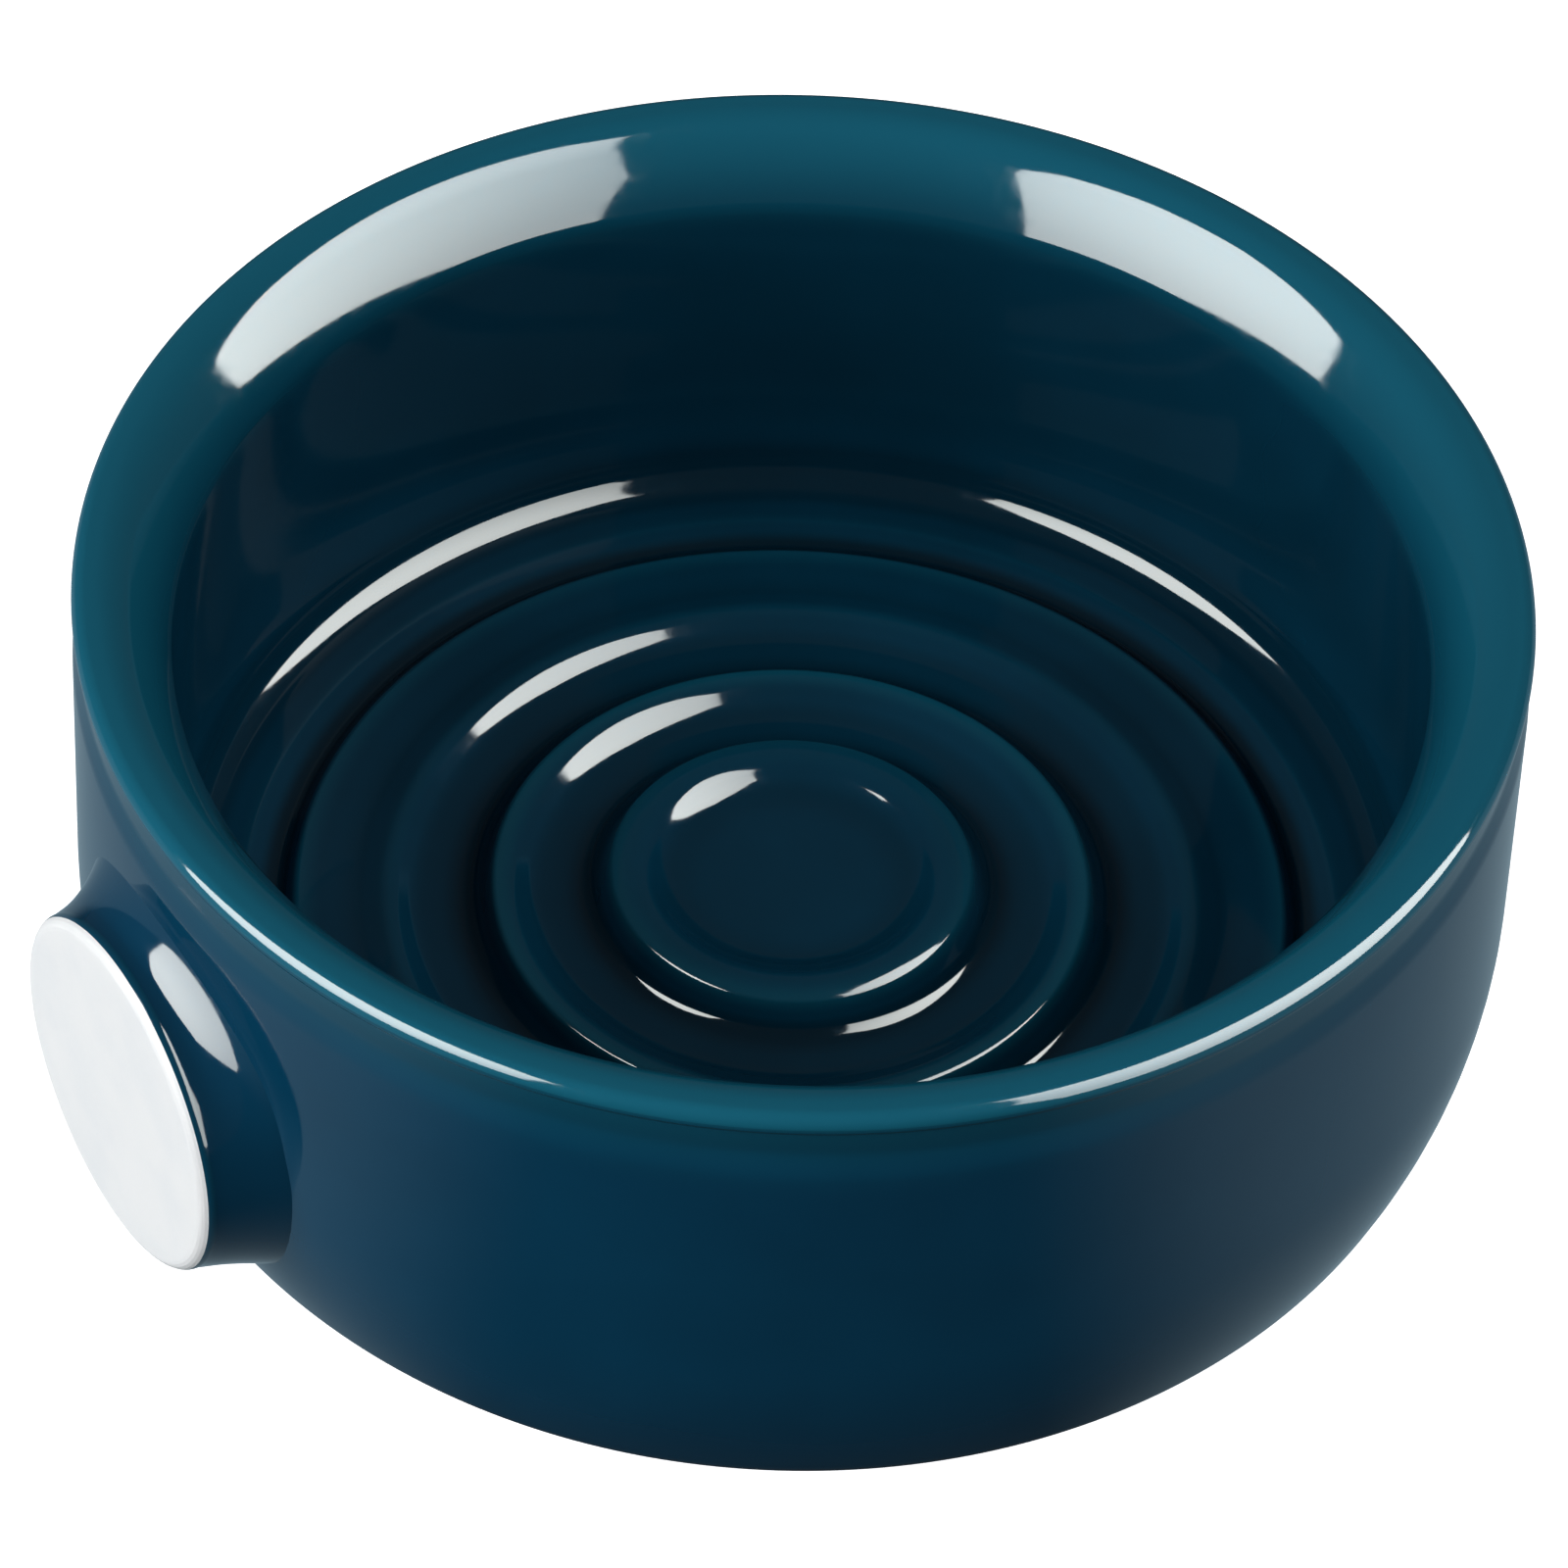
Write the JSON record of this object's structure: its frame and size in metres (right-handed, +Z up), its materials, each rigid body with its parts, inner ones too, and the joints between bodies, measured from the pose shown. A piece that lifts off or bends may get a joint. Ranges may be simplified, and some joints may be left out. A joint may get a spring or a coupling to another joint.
{
  "type": "lather bowl",
  "caption": "Low glazed ceramic shaving-lather bowl with a moulded ringed floor, a flared lip and a stub knob with a bare end on its side.",
  "frame": {"origin": "centre of the foot, on the plane the bowl stands on", "axes": "+Z up along the bowl's axis; the knob points along -X"},
  "size_m": [0.1296, 0.125, 0.052],
  "materials": {
    "fired_clay": "unglazed satin white",
    "joining_slip": "unglazed, covered by glaze",
    "teal_glaze": "high gloss",
    "navy_glaze": "gloss"
  },
  "bodies": {
    "root": {"bowl_body": "fired_clay", "knob": "fired_clay", "knob_slip_joint": "joining_slip", "inner_glaze": "teal_glaze", "outer_glaze": "navy_glaze", "knob_glaze": "navy_glaze", "base_glaze": "navy_glaze"}
  },
  "joints": []
}
